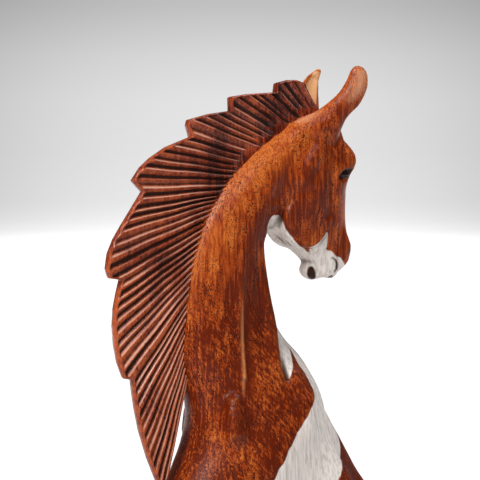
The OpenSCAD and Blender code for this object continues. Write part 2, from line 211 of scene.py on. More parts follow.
# (points, blend) added to the clay
RAISED_STROKES = {
    "poll": ([(39, 2.4, 303, 3.4), (44.5, 4, 305.4, 4.2), (48.6, 6.2, 305.6, 4.2)], 5),
    "orbit": ([(53.6, 5.8, 300.5, 2), (55.6, 6.9, 296.8, 2.9), (57, 7.4, 293.4, 3.1),
               (54.8, 6.6, 288.8, 2.9), (54, 6.2, 285, 1.8)], 2.2),
    "temple": ([(44, 8.4, 297.6, 1.2), (40.6, 8.6, 292.4, 1.6), (37, 8.2, 286.6, 1.2)], 3.2),
    "cheek": ([(40.6, 3.6, 284, 5.6), (40.6, 3.6, 276, 5.6)], 4),
    "face_crest": ([(51.5, 7.4, 285, 1.6), (50.4, 6.8, 276, 1.4), (50.4, 5.8, 270, 1.2)], 2.5),
    "nostril_flare": ([(55, 4.4, 266, 2), (57, 4.2, 262.4, 2.7), (56.2, 4.2, 258.8, 2.6)], 2.4),
    "chin": ([(45.1, 1.4, 253.8, 3), (45.6, 0, 253.8, 3.1)], 1.4),
    "forelock": ([(51.8, 3, 308, 1.6), (53.6, 3, 305, 2.4), (55, 3, 301.2, 2.4)], 2),
    "lower_lip": ([(52, 2.6, 253, 1.8), (54, 0, 253, 2)], 1.4),
    "neck_ridge": ([(11.8, 8.2, 262, 0.6), (11.2, 8.9, 250, 1.1), (10.6, 9.8, 238, 1.2),
                    (10, 11.6, 226, 1.2), (9.4, 14.6, 216, 0.7)], 1.4),
    "neck_front": ([(20.4, 5.8, 262, 1.4), (21.8, 6.6, 246, 2.2), (23.4, 8.4, 233, 2.5),
                    (23.8, 10.4, 222, 2.4), (23.2, 13, 213, 2)], 2),
    "shoulder_point": ([(32, 10.6, 214, 3.6), (33, 13.4, 206, 5), (32, 15, 196, 5)], 4),
    "shoulder_knob": ([(4.8, 15, 207, 2), (4.8, 15.6, 202, 3.2), (4.6, 17, 196, 3)], 4),
}
# (points, blend) taken away
CARVED_STROKES = {
    "socket": ([(57.2, 9.6, 289.2, 1.5), (55, 10, 288.4, 1.9), (52.8, 10.2, 287.4, 1.3)], 0.8),
    "parotid": ([(38, 11.6, 303, 1.6), (31.5, 11.6, 291, 2.2), (27, 10.4, 280, 2.4)], 3),
    "face_line": ([(48.8, 12, 301, 1.5), (48.4, 11.8, 288, 1.6), (48.6, 10, 274, 1.2)], 2),
    "throat": ([(25.4, 10.4, 277, 0.8), (25.9, 9.4, 273, 1.8), (26.8, 5, 267.6, 1.9)], 1.2),
    "cheek_edge": ([(26.8, 9.4, 272, 1.5), (31, 9, 267, 1.7), (35.4, 8.8, 262.4, 1.7),
                    (39, 8.4, 259.6, 1.3)], 0.8),
    "jaw_edge": ([(40.4, 8.4, 260, 0.8), (44, 8.6, 262.2, 1), (47, 8.8, 265.6, 0.9),
                  (48.6, 9, 269.4, 0.4)], 0.7),
    "nostril": ([(48.8, 8.2, 257, 0.45), (51.2, 8.2, 257.6, 0.75), (52.6, 7.9, 256, 0.6)], 0.4),
    "mouth": ([(47, 8.4, 255, 0.35), (50, 7.8, 253.8, 0.5), (53.5, 5.8, 253, 0.5)], 0.5),
    "neck_step": ([(14.4, 10.2, 258, 0.8), (13.8, 11, 248, 1.6), (13, 12, 238, 2),
                   (12.4, 13.9, 226, 2), (11.8, 17.6, 214, 1.6), (11.6, 20.6, 207, 0.8)], 1.2),
    "jugular": ([(18.6, 10.8, 250, 1), (18.6, 12.4, 240, 1.4), (18.4, 14.4, 228, 1.4),
                 (18, 17, 218, 1)], 2.6),
    "chest_fold": ([(28, 9.4, 237, 0.8), (27.6, 11.2, 230, 1.7), (27.4, 13, 222, 2),
                    (26.8, 15.2, 215.4, 1.3)], 1),
}
# taken away on the middle plane
MIDDLE_CUTS = {
    "lip_notch": ([(49.6, -7, 250.6, 1.1), (49.2, 0, 250.2, 1.3), (49.6, 7, 250.6, 1.1)], 0.8),
    "chest_centre": ([(38, 0, 236, 1.2), (50, 0, 218, 2), (53.6, 0, 200, 2)], 3),
}
# the round cheek: centre (x, z), radius, and how far out it reaches
CHEEK_CENTRE = (39.8, 271.6)
CHEEK_RADIUS = 9.8
CHEEK_REACH = 9

# --- clay ---


def smooth_rows(rows, steps):
    """A Catmull-Rom curve through equal rows, with so many steps between two of them."""
    rows = np.array(rows, float)
    padded = np.vstack([rows[:1], rows, rows[-1:]])
    out = []
    for a, b, c, d in zip(padded, padded[1:], padded[2:], padded[3:]):
        for t in np.arange(steps) / steps:
            out.append(0.5 * (2 * b + (c - a) * t + (2 * a - 5 * b + 4 * c - d) * t**2
                              + (3 * b - a - 3 * c + d) * t**3))
    out.append(rows[-1])
    return np.array(out)


def full_turn(sides):
    """So many even angles round a circle, with their cosines and sines."""
    angle = np.linspace(0, 2 * math.pi, sides, endpoint=False)
    return angle, np.cos(angle), np.sin(angle)


def loft(ribs):
    """Points, quads and end triangles of the solid through a list of ribs."""
    rows = smooth_rows(ribs, 6)
    _, c, s = full_turn(72)
    rings = []
    for ux, uz, lx, lz, y, width, egg, square in rows:
        power = 1 - square * (1 - c) / 2
        cc = np.sign(c) * np.abs(c) ** power
        ss = np.sign(s) * np.abs(s) ** power
        rings.append(np.stack([(ux + lx) / 2 + (ux - lx) / 2 * cc,
                               y + width * ss * (1 + egg * cc),
                               (uz + lz) / 2 + (uz - lz) / 2 * cc], 1))
    return ring_solid(rings)


def ring_quads(count, sides):
    """The quads between neighbours of so many rings of points."""
    ring, spoke = np.meshgrid(np.arange(count - 1), np.arange(sides), indexing="ij")
    a, b = ring * sides + spoke, ring * sides + (spoke + 1) % sides
    return np.stack([a, b, b + sides, a + sides], -1).reshape(-1, 4)


def ring_solid(rings):
    """Points, quads and end triangles of the solid through equal rings."""
    sides = len(rings[0])
    points = np.concatenate(rings)
    quads = ring_quads(len(rings), sides)
    ends = np.array([rings[0].mean(0), rings[-1].mean(0)])
    k = np.arange(sides)
    last = (len(rings) - 1) * sides
    caps = [np.stack([np.full(sides, len(points)), (k + 1) % sides, k], 1),
            np.stack([np.full(sides, len(points) + 1), last + k, last + (k + 1) % sides], 1)]
    return np.vstack([points, ends]), quads, np.vstack(caps)


class Clay:
    """Signed distances on a regular grid, negative inside the carving."""

    def __init__(self, low, high, voxel):
        """Clay that fills the box between two corners, in cells of a size."""
        self.low = np.array(low, float)
        self.voxel = voxel
        self.shape = tuple(np.ceil((np.array(high) - self.low) / voxel).astype(int) + 1)
        self.field = np.full(self.shape, FAR, np.float32)

    def distance_to(self, points, quads, tris):
        """The signed distance to a solid's surface."""
        grid = vdb.FloatGrid.createLevelSetFromPolygons(
            (points - self.low).astype(np.float32),
            triangles=tris.astype(np.uint32),
            quads=quads.astype(np.uint32),
            transform=vdb.createLinearTransform(self.voxel),
            halfWidth=FAR / self.voxel,
        )
        out = np.full(self.shape, FAR, np.float32)
        grid.copyToArray(out)
        return out

    def window(self, points, margin):
        """The cells round a stroke, and the coordinates there."""
        points = np.array(points)
        reach = points[:, 3].max() + margin
        low = points[:, :3].min(0) - reach
        high = points[:, :3].max(0) + reach
        first = np.maximum(np.floor((low - self.low) / self.voxel).astype(int), 0)
        last = np.minimum(np.ceil((high - self.low) / self.voxel).astype(int) + 1, self.shape)
        if (last - first < 2).any():
            return None, None
        cells = tuple(slice(a, b) for a, b in zip(first, last))
        axes = [self.low[i] + self.voxel * np.arange(first[i], last[i]) for i in range(3)]
        return cells, np.meshgrid(*[a.astype(np.float32) for a in axes], indexing="ij", sparse=True)

    def add(self, other, blend, cells=...):
        self.field[cells] = soft_min(self.field[cells], other, blend)

    def carve(self, other, blend, cells=...):
        self.field[cells] = -soft_min(-self.field[cells], other, blend)

    def stroke(self, points, blend, away=False):
        """Adds or takes away a round-ended bar of varying radius along a smooth path."""
        points = smooth_rows(points, 3)
        cells, grid = self.window(points, blend + 1)
        if cells is None:
            return
        work = self.carve if away else self.add
        work(bar_distance(grid, points), blend, cells)

    def hollowness(self, size):
        """Above 0 in hollows and grooves, below 0 on edges, in mm."""
        return self.field - box_blur(self.field, max(1, round(size / self.voxel / 2)))

    def sample(self, values, points):
        """Values of a grid at points, between its cells."""
        at = np.clip((points - self.low) / self.voxel, 0, np.array(self.shape) - 1.001)
        cell = at.astype(int)
        f = (at - cell).astype(np.float32)
        out = 0
        for corner in np.ndindex(2, 2, 2):
            weight = np.prod([f[:, i] if corner[i] else 1 - f[:, i] for i in range(3)], axis=0)
            out = out + weight * values[tuple((cell + corner).T)]
        return out

    def skin(self):
        """Points and quads of the surface."""
        field = self.field.copy()
        for axis in range(3):
            rim = [slice(None)] * 3
            for end in (0, -1):
                rim[axis] = end
                field[tuple(rim)] = np.maximum(field[tuple(rim)], self.voxel)
        grid = vdb.FloatGrid(FAR)
        grid.copyFromArray(np.clip(field, -2, 2))
        grid.transform = vdb.createLinearTransform(self.voxel)
        points, quads = grid.convertToQuads(0.0)
        return points + self.low, quads


def soft_min(a, b, blend):
    """The smaller of two, rounded off where they come within a blend of each other."""
    near = np.maximum(blend - np.abs(a - b), 0) / blend
    return np.minimum(a, b) - near * near * blend / 4


def bar_distance(grid, points):
    """The signed distance to a round-ended bar through rows of (x, y, z, radius)."""
    best = None
    for a, b in zip(points, points[1:]):
        along = b - a
        rel = [grid[i] - np.float32(a[i]) for i in range(3)]
        t = sum(rel[i] * np.float32(along[i]) for i in range(3)) / max(along[:3] @ along[:3], 1e-6)
        t = np.clip(t, 0, 1).astype(np.float32)
        gap = np.sqrt(sum((rel[i] - t * np.float32(along[i])) ** 2 for i in range(3)))
        gap = gap - (np.float32(a[3]) + t * np.float32(along[3]))
        best = gap if best is None else np.minimum(best, gap)
    return best


def box_blur(values, reach):
    """The mean over the cells within a reach on every axis."""
    for axis in range(3):
        pad = [(0, 0)] * 3
        pad[axis] = (reach + 1, reach)
        total = np.cumsum(np.pad(values, pad, mode="edge"), axis=axis, dtype=np.float64)
        n = values.shape[axis]
        high = np.take(total, np.arange(2 * reach + 1, 2 * reach + 1 + n), axis=axis)
        low = np.take(total, np.arange(n), axis=axis)
        values = ((high - low) / (2 * reach + 1)).astype(np.float32)
    return values


# An ear: its foot, the directions of its width and of its hollow side, where it is joined,
# and rows of (run along its width, rise, half width, half thickness, cup)
EARS = {
    "right_ear": ((49.6, -8.2, 309.7), (0.87, -0.5), (0.5, 0.87), (2.6, 2.6), [
        (-5, -6, 4, 3.2, 0), (-2.6, -3, 4.6, 3, 0.2), (0, 0, 4.6, 2.6, 0.4), (4, 4, 4.2, 2, 0.8),
        (6.7, 6.9, 4.3, 1.7, 1.1), (8.8, 10.8, 4.1, 1.5, 1.1), (9.5, 13.6, 3.7, 1.3, 0.9),
        (9.5, 15.9, 3.1, 1.1, 0.5), (9.3, 17.6, 1.9, 0.7, 0.2), (9.2, 18.3, 0.7, 0.4, 0)]),
    "left_ear": ((49.6, 7.6, 309.7), (0.9, -0.42), (-0.42, -0.9), (-0.3, 2.6), [
        (0, -6, 3.8, 3.2, 0), (-0.2, -3, 4.3, 3, 0.2), (-0.2, 0, 4.3, 2.6, 0.4),
        (-0.4, 4, 4.1, 2, 0.8), (-0.5, 8, 4, 1.7, 1), (0.3, 11.4, 3.3, 1.4, 0.8),
        (1.3, 14, 2.5, 1.2, 0.5), (2.7, 16, 1.6, 0.9, 0.2), (3.8, 17.6, 0.9, 0.6, 0),
        (4, 18, 0.4, 0.3, 0)]),
}


def ear_point(ear, run, rise, depth):
    """A point of an ear: run along its width, rise, and depth towards its hollow side."""
    foot, across, front = EARS[ear][:3]
    return np.stack(np.broadcast_arrays(
        foot[0] + run * across[0] + depth * front[0],
        foot[1] + run * across[1] + depth * front[1],
        foot[2] + rise), -1)


def ear_solid(ear):
    """A broad leaf with its edges curled to its hollow side."""
    rows = smooth_rows(EARS[ear][4], 6)
    heading = np.gradient(rows[:, :2], axis=0)
    heading /= np.linalg.norm(heading, axis=1)[:, None]
    _, c, s = full_turn(40)
    rings = []
    for (run, rise, width, thick, cup), (dr, dz) in zip(rows, heading):
        hollow = np.where(s > 0, 1 - 0.9 * (cup > 0.3) * (1 - c * c), 1)
        rings.append(ear_point(ear, run + width * c * dz, rise - width * c * dr,
                               thick * s * hollow + cup * c * c - cup * 0.4))
    return ring_solid(rings)


def cheek_disc(clay, side):
    """A flat round cheek whose rim stands proud of the jaw."""
    cx, cz = CHEEK_CENTRE
    cells, grid = clay.window([(cx, side * 4, cz, CHEEK_RADIUS + 2)], 2)
    if cells is None:
        return
    x, y, z = grid
    rounding = 1.6
    out = np.sqrt((x - cx) ** 2 + (z - cz) ** 2) - (CHEEK_RADIUS - rounding) + 0 * y
    up = side * y - (CHEEK_REACH - rounding) + 0 * out
    outside = np.sqrt(np.maximum(out, 0) ** 2 + np.maximum(up, 0) ** 2)
    disc = outside + np.minimum(np.maximum(out, up), 0) - rounding
    inner = 3 - side * y
    clay.add(np.maximum(disc, inner).astype(np.float32), 0.9, cells)


def model(clay):
    """The whole figure but its mane and tail, in one block of clay."""
    clay.field = clay.distance_to(*loft(TRUNK_RIBS + HEAD_RIBS))
    for legs, blend in ((FORELEGS, 6), (HINDLEGS, 7)):
        for ribs in legs.values():
            clay.add(clay.distance_to(*loft(ribs)), blend)
    for ear in EARS:
        clay.add(clay.distance_to(*ear_solid(ear)), 2.6)
    for side in (1, -1):
        cheek_disc(clay, side)
    for points, blend in RAISED_STROKES.values():
        for path in both_sides(points):
            clay.stroke(path, blend)
    for points, blend in CARVED_STROKES.values():
        for path in both_sides(points):
            clay.stroke(path, blend, away=True)
    for points, blend in MIDDLE_CUTS.values():
        clay.stroke(points, blend, away=True)


# --- cutting the clay into its pieces ---


def joint_plane(rib, towards):
    """A point on a rib's plane, and the plane's normal on the side of a direction."""
    across = Vector((rib[0] - rib[2], 0, rib[1] - rib[3])).normalized()
    point = Vector(((rib[0] + rib[2]) / 2, rib[4], (rib[1] + rib[3]) / 2))
    normal = Vector((-across.z, 0, across.x))
    return point, normal if normal.dot(Vector(towards)) >= 0 else -normal


def saw_off(bm, point, normal, near):
    """Cuts the faces near a joint at its plane. The part beyond becomes a new closed mesh."""
    faces = [f for f in bm.faces if near(f.calc_center_median())]
    verts = {v for f in faces for v in f.verts}
    edges = {e for f in faces for e in f.edges}
    cut = bmesh.ops.bisect_plane(bm, geom=[*verts, *edges, *faces], dist=1e-5, plane_co=point,
                                 plane_no=normal)
    rim = {e for e in cut["geom_cut"] if isinstance(e, bmesh.types.BMEdge)}
    seeds = [f for e in rim for f in e.link_faces
             if (f.calc_center_median() - point).dot(normal) > 0]
    beyond = faces_within(rim, seeds)
    part = bmesh.new()
    twin = {}
    for face in beyond:
        for vert in face.verts:
            if vert not in twin:
                twin[vert] = part.verts.new(vert.co)
        part.faces.new([twin[v] for v in face.verts])
    bmesh.ops.delete(bm, geom=list(beyond), context="FACES")
    close_ends(bm)
    close_ends(part)
    return part


def faces_within(rim, seeds):
    """The faces reached from the seeds without crossing the rim."""
    found = set(seeds)
    stack = list(seeds)
    while stack:
        for edge in stack.pop().edges:
            if edge in rim:
                continue
            for other in edge.link_faces:
                if other not in found:
                    found.add(other)
                    stack.append(other)
    return found


def close_ends(bm):
    """Caps each open end with a flat face, and keeps its rim a sharp edge."""
    open_edges = [e for e in bm.edges if e.is_boundary]
    if open_edges:
        made = bmesh.ops.contextual_create(bm, geom=open_edges)["faces"]
        for edge in open_edges:
            edge.smooth = False
        bmesh.ops.triangulate(bm, faces=made)


def carve(low, high, voxel):
    """A block of clay modelled as the figure, and its surface."""
    clay = Clay(low, high, voxel)
    model(clay)
    clay.hollows = clay.hollowness(HOLLOW_SPAN)
    points, quads = clay.skin()
    mesh = bpy.data.meshes.new("block")
    mesh.from_pydata(points.tolist(), [], quads.tolist())
    mesh.validate()
    bm = bmesh.new()
    bm.from_mesh(mesh)
    bpy.data.meshes.remove(mesh)
    bmesh.ops.recalc_face_normals(bm, faces=bm.faces)
    return clay, bm


def finish_piece(node, bm, clay, material):
    """Turns a sawn block into a piece in metres, with its stain depths and the depths of its paint,
    painted shade and painted highlights.
    """
    bmesh.ops.recalc_face_normals(bm, faces=bm.faces)
    mesh = bpy.data.meshes.new("carved_" + node)
    bm.to_mesh(mesh)
    bm.free()
    points = mesh_points(mesh)
    store(mesh, "hollow", clay.sample(clay.hollows, points))
    for layer, values in paint_layers(points).items():
        store(mesh, layer, values)
    mesh.polygons.foreach_set("use_smooth", [True] * len(mesh.polygons))
    to_metres(mesh)
    place(add_object("carved_" + node, mesh), node, material)


def mesh_points(mesh):
    points = np.empty(len(mesh.vertices) * 3, np.float32)
    mesh.vertices.foreach_get("co", points)
    return points.reshape(-1, 3)


def to_metres(mesh):
    points = (mesh_points(mesh) + (0, 0, PLINTH_TOP)) * MM
    mesh.vertices.foreach_set("co", points.astype(np.float32).ravel())
    mesh.update()


def store(mesh, name, values):
    layer = mesh.attributes.new(name, "FLOAT", "POINT")
    layer.data.foreach_set("value", np.asarray(values, np.float32))


def add_object(name, mesh):
    obj = bpy.data.objects.new(name, mesh)
    bpy.context.scene.collection.objects.link(obj)
    return obj


def place(obj, node, material):
    obj.data.materials.clear()
    obj.data.materials.append(material)
    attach(obj, "root")
    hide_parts(node)


# --- paint, painted shade and painted highlights: rows of (x, y, z, radius); it lies on the surface inside one of the bars ---


def doubled(bars):
    """Bars on the left side, and the same on the right."""
    return [path for bar in bars for path in both_sides(bar)]


PATCHES = {
    "white": doubled([
        [(26.4, 4, 270.4, 4.2), (32, 3.6, 262.6, 4.6), (38.6, 3, 257.4, 4.4)],
        [(42.6, 3, 254.4, 6), (47, 3.4, 255.6, 6.8), (50.4, 3, 255, 5.6)],
        [(40, 8, 259.4, 2), (43, 8, 259.8, 2.7), (45.4, 8, 261.6, 2.6), (46.8, 8, 264.4, 1.5),
         (47.4, 8, 266.8, 0.5)],
        [(52.6, 6, 256.6, 2.4), (55, 4, 254.6, 2.6)],
        [(28, 6, 236, 2.6), (29.4, 9, 227, 3.6), (28.4, 12, 220, 2.4), (27.6, 14, 215.6, 0.6)],
        # a small white spot below the eye: a painted glint
        [(53.8, 7.6, 286, 1.1), (53, 7.8, 285, 1)],
    ]) + [
        [(30, 0, 237, 5), (44, 0, 226, 13), (48, -2, 212, 16), (50, -2, 202, 18),
         (50, 2, 188, 16)],
        [(46, -14, 200, 12.4), (37, -20, 189, 12), (26, -22, 178, 10), (14, -24, 166, 8),
         (0, -24, 156, 11), (-14, -22, 150, 7)],
        [(-13, 13, 200, 7), (-15, 15, 184, 11), (-22, 16, 166, 13), (-34, 14, 148, 8)],
    ],
    # painted shade beside the chin, round the eyes, in the nostrils and along the mouth
    "dark": doubled([
        [(42.8, 4.4, 254, 1.6), (43.2, 4.2, 252, 2.1), (44, 3, 250, 1.9)],
        [(56.8, 8.6, 290.2, 1.5), (55, 9, 289, 1.6), (53.6, 9, 287.6, 1)],
        [(48.6, 7.6, 257.6, 0.4), (50.8, 7.6, 258, 0.7), (52.4, 7, 256.4, 0.7),
         (52.8, 6, 253, 0.8)],
    ]) + [
        [(51.6, -4.8, 250.6, 1.3), (53.6, 0, 250, 1.4), (51.6, 4.8, 250.6, 1.3)],
    ],
    # unstained wood inside the left ear
    "bare": [
        [(49, 7, 316, 3), (49.6, 6, 321, 2.6), (51.6, 5.2, 325.6, 1.6)],
    ],
    # a painted highlight along the crest
    "crest_highlight": [
        [(44, 0, 306, 5), (30, 0, 298, 8), (17, 0, 286, 10), (8, 0, 270, 10.5), (3, 0, 254, 10.5),
         (0, 0, 240, 10)],
    ],
    # painted highlights on the poll's edges and on the right ear
    "highlight_patch": doubled([
        [(39, 3.4, 307, 0), (44, 5.4, 308.8, 0.6), (49, 7.8, 310.2, 0.2)],
    ]) + [
        [(54.4, -12.4, 315.6, -0.6), (57.6, -13.6, 320, 0.6), (58.8, -14, 324.6, 0.6)],
    ],
}
# rows of (x, z, half width) of lines on both sides: a painted highlight along the neck's ridge, and
# painted shade beside it and in lines on the head
LINES = {
    "highlight_line": [
        [(10.9, 243, -0.3), (10.6, 236, 0.1), (9.8, 227, 0.1), (9, 214, 0), (8.6, 209, -0.4)],
    ],
    "shaded_line": [
        [(13.4, 252, 0.4), (13.2, 238, 1.2), (12.4, 226, 1.5), (11.6, 214, 1.2),
         (11.4, 207, 0.4)],
        [(48.4, 301, 0), (48.2, 291, 0.5), (48.4, 281, 0.2), (49, 272, -0.2)],
        [(35, 299, 0), (30, 289, 0.8), (26.6, 280, 1)],
        [(41, 290, -0.4), (37, 284, 0.2), (34, 276, -0.4)],
    ],
}


def bars_depth(points, bars):
    """How deep each point lies inside the nearest bar, in mm."""
    coords = [points[:, i] for i in range(3)]
    depth = np.full(len(points), -8, np.float32)
    for bar in bars:
        depth = np.maximum(depth, -bar_distance(coords, smooth_rows(bar, 4)))
    return depth


def paint_layers(points):
    """The depth of each point inside each kind of patch and line."""
    layers = {name: bars_depth(points, bars) for name, bars in PATCHES.items()}
    flat = points * (1, 0, 1)
    for name, lines in LINES.items():
        bars = [[(x, 0, z, half) for x, z, half in line] for line in lines]
        layers[name] = bars_depth(flat, bars)
    return layers


# --- mane ---

# (x, z, direction of the groove in degrees below the horizontal, towards the back)
MANE_ROOT = [
    (53, 304.5, -58), (50, 304.6, -47), (46.8, 303.4, -38), (38.5, 300.5, -29),
    (30.4, 295.8, -19), (22.6, 289.8, -9), (16, 284, 4), (11, 278.7, 17), (7, 272, 27),
    (3.9, 264.5, 36), (1.8, 259.5, 42), (0.3, 254.8, 48), (-1, 250, 54), (-2, 245, 59),
    (-3, 240, 64), (-3.8, 235, 69), (-4.2, 229.5, 74), (-4.6, 224.6, 78), (-5.4, 217, 80),
]
MANE_OUTLINE = [
    (54, 309), (50.6, 313.2), (47, 319), (43.6, 321.4), (39, 323), (35.2, 322.8),
    (30.6, 321.6), (30, 318.2), (18.2, 317.2), (11.2, 316), (11.3, 311), (2.3, 309.6),
    (-5.8, 307.4), (-6.3, 305.4), (-5, 301.3), (-14.6, 297.6), (-21, 293.5), (-24.8, 290.2),
    (-28.2, 285.4), (-24.2, 281.5), (-28.4, 275.2), (-32.2, 269.6), (-35.4, 264.6),
    (-37.6, 259.6), (-38.4, 254.2), (-37.4, 251.2), (-32.8, 250.6), (-34, 246), (-35.2, 240.2),
    (-35.6, 234), (-35, 227.4), (-33.8, 221.4), (-31.6, 216), (-28.4, 215.4), (-27.8, 211),
    (-26.8, 205), (-25, 197), (-21.6, 187), (-17, 176.5), (-14.6, 181), (-12.6, 191), (-9.4, 204),
    (-7.2, 212),
]
MANE_GROOVES = 52
MANE_HALF_THICKNESS = 2.25


def mane_rays(count):
    """Shares of the root, root points, directions and lengths of evenly fanned straight locks."""
    fine = smooth_rows(MANE_ROOT, 60)
    heading, length = lock_reach(fine[:, :2], fine[:, 2])
    # spread evenly by the run of the locks' middles, where a jump of the outline counts little
    middle = fine[:, :2] + heading * 0.65 * length[:, None]
    step = np.linalg.norm(np.diff(middle, axis=0), axis=1)
    run = np.concatenate([[0], np.cumsum(np.minimum(step, 0.3) + 0.02)])
    share = np.linspace(0, 1, count)
    columns = [np.interp(share, run / run[-1], fine[:, i]) for i in range(3)]
    start = np.stack(columns[:2], 1)
    return share, start, *lock_reach(start, columns[2])


def lock_reach(roots, slopes):
    """Directions and lengths of the locks at root points, from their slopes in degrees."""
    angle = np.radians(slopes)
    heading = np.stack([-np.cos(angle), -np.sin(angle)], 1)
    return heading, np.array([reach_outline(p, d) for p, d in zip(roots, heading)])


def reach_outline(p, d):
    """Distance from a root point along a direction to the mane's outline."""
    outline = np.array(MANE_OUTLINE, float)
    a, edge = outline[:-1], np.diff(outline, axis=0)
    cross = d[0] * edge[:, 1] - d[1] * edge[:, 0]
    cross = np.where(np.abs(cross) < 1e-9, 1e-9, cross)
    rel = a - p
    t = (rel[:, 0] * edge[:, 1] - rel[:, 1] * edge[:, 0]) / cross
    u = (rel[:, 0] * d[1] - rel[:, 1] * d[0]) / cross
    hits = t[(u >= -1e-6) & (u <= 1 + 1e-6) & (t > 2)]
    return hits.max() if len(hits) else 4.0


def smooth_step(x, low, high):
    """From 0 at low to 1 at high, level at both ends."""
    t = np.clip((x - low) / (high - low), 0, 1)
    return t * t * (3 - 2 * t)


def mane_mesh():
    """The mane as rings across each lock, and the stain depth of each point, below 0 where the
    upper flanks get a painted highlight.
    """
    per_groove = 14
    count = MANE_GROOVES * per_groove + 1
    share, start, heading, length = mane_rays(count)
    groove = share * MANE_GROOVES
    jitter = rng.uniform(-0.16, 0.16, MANE_GROOVES + 2)
    depth_of = rng.uniform(0.7, 1.15, MANE_GROOVES + 2)
    plain_of = rng.uniform(-1.5, 2.5, MANE_GROOVES + 2)
    index = np.clip(np.round(groove).astype(int), 0, MANE_GROOVES + 1)
    past = groove - np.round(groove) - jitter[index]
    valley = np.clip(np.abs(past) * 2, 0, 1)
    highlit_flank = smooth_step(past, 0.08, 0.2) * (1 - smooth_step(past, 0.34, 0.5))
    profile = np.cos(valley * math.pi / 2) ** 1.6 * depth_of[index]
    across = np.concatenate([np.linspace(0, 0.9, 34), np.linspace(0.925, 1, 7)])
    rings, hollows = [], []
    for k in range(count):
        t = across * length[k]
        wave = 0.2 * np.sin(t * 0.3 + groove[k] * 0.4)
        edge_gap = length[k] - t
        # the grooves start past a plain band along the root, broader over the poll
        plain = 9.5 - 5 * smooth_step(share[k], 0.25, 0.5) + plain_of[index[k]]
        fade = smooth_step(t, plain - 1.5, plain + 2.5) * smooth_step(edge_gap, 0.5, 1.5)
        # thicker along the root, and rounded off at the outline
        half = MANE_HALF_THICKNESS + 0.9 * (1 - smooth_step(t, 4, 11))
        half = half * np.sqrt(np.clip(1 - (1 - np.clip(edge_gap / 0.9, 0, 1)) ** 2, 0, 1))
        cut = 1.2 * profile[k] * fade
        face = np.maximum(half - cut, 0)
        flat = start[k] + heading[k] * t[:, None]
        side = heading[k][::-1] * (1, -1)
        flat = flat + side * (wave * fade)[:, None] * 0.5
        near = np.stack([flat[:, 0], -face, flat[:, 1]], 1)
        far = np.stack([flat[:, 0], face, flat[:, 1]], 1)[:-1][::-1]
        rings.append(np.vstack([near, far]))
        # stain gathers in the grooves, and the locks' upper flanks get a painted highlight
        deep = (0.95 * profile[k] ** 2.5 - 0.5 * highlit_flank[k]) * fade
        hollows.append(np.concatenate([deep, deep[:-1][::-1]]))
    return ring_mesh("mane", rings), np.concatenate(hollows)


def ring_mesh(name, rings):
    """A closed mesh through rings of equal point counts, with capped ends."""
    count, sides = len(rings), len(rings[0])
    faces = ring_quads(count, sides).tolist()
    faces.append(list(range(sides))[::-1])
    faces.append(list(range((count - 1) * sides, count * sides)))
    mesh = bpy.data.meshes.new(name)
    mesh.from_pydata(np.concatenate(rings).tolist(), [], faces)
    bm = bmesh.new()
    bm.from_mesh(mesh)
    bmesh.ops.recalc_face_normals(bm, faces=bm.faces)
    for face in bm.faces:
        face.smooth = len(face.verts) == 4
    bm.to_mesh(mesh)
    bm.free()
    return mesh


def make_mane(material):
    mesh, hollows = mane_mesh()
    store(mesh, "hollow", hollows)
    to_metres(mesh)
    place(add_object("carved_mane", mesh), "mane", material)


# --- tail ---

TAIL_STRANDS = 15


def make_tail(material):
    """A tail of strands that wind down it, with a groove between each two."""
    rows = smooth_rows(TAIL_RIBS, 16)
    angle, c, s = full_turn(TAIL_STRANDS * 12)
    rings, hollows = [], []
    for k, (ux, uz, lx, lz, y, width, *_) in enumerate(rows):
        along = k / (len(rows) - 1)
        turn = 0.8 * math.sin(along * 5) + 1.2 * along
        strand = (angle * TAIL_STRANDS / (2 * math.pi) + turn) % 1
        groove = np.clip(1 - np.abs(strand - 0.5) / 0.3, 0, 1) ** 1.2
        cut = 0.85 * groove * smooth_step(along, 0.03, 0.12) * (1 - smooth_step(along, 0.97, 1))
        left = 1 - cut / (math.hypot(ux - lx, uz - lz) / 2)
        rings.append(np.stack([(ux + lx) / 2 + (ux - lx) / 2 * c * left,
                               y + (width - cut) * s,
                               (uz + lz) / 2 + (uz - lz) / 2 * c * left], 1))
        hollows.append(cut)
    mesh = ring_mesh("tail", rings)
    store(mesh, "hollow", np.concatenate(hollows))
    to_metres(mesh)
    place(add_object("carved_tail", mesh), "tail", material)


# --- eyes ---


def make_eye(side, node, material):
    """A glossy bead that bulges at its cornea."""
    bm = bmesh.new()
    bmesh.ops.create_uvsphere(bm, u_segments=48, v_segments=32, radius=EYE_R * MM)
    look = Vector((0.45, side * 0.86, 0.05)).normalized()
    for vert in bm.verts:
        facing = max(0.0, vert.co.normalized().dot(look))
        vert.co *= 0.96 + 0.04 * facing**6
        vert.co += Vector((EYE_AT[0], side * EYE_AT[1], EYE_AT[2] + PLINTH_TOP)) * MM
    mesh = bpy.data.meshes.new(node)
    bm.to_mesh(mesh)
    bm.free()
    mesh.polygons.foreach_set("use_smooth", [True] * len(mesh.polygons))
    place(add_object("bead_" + node, mesh), node, material)


# --- plinth ---


def oval(length, width, steps):
    """Points round a stadium outline, with so many steps round each end."""
    r = width / 2
    out = []
    for centre, first in ((length / 2 - r, -0.5), (r - length / 2, 0.5)):
        for k in range(steps + 1):
            a = math.pi * (first + k / steps)
            out.append((centre + r * math.cos(a), r * math.sin(a)))
    return np.array(out)


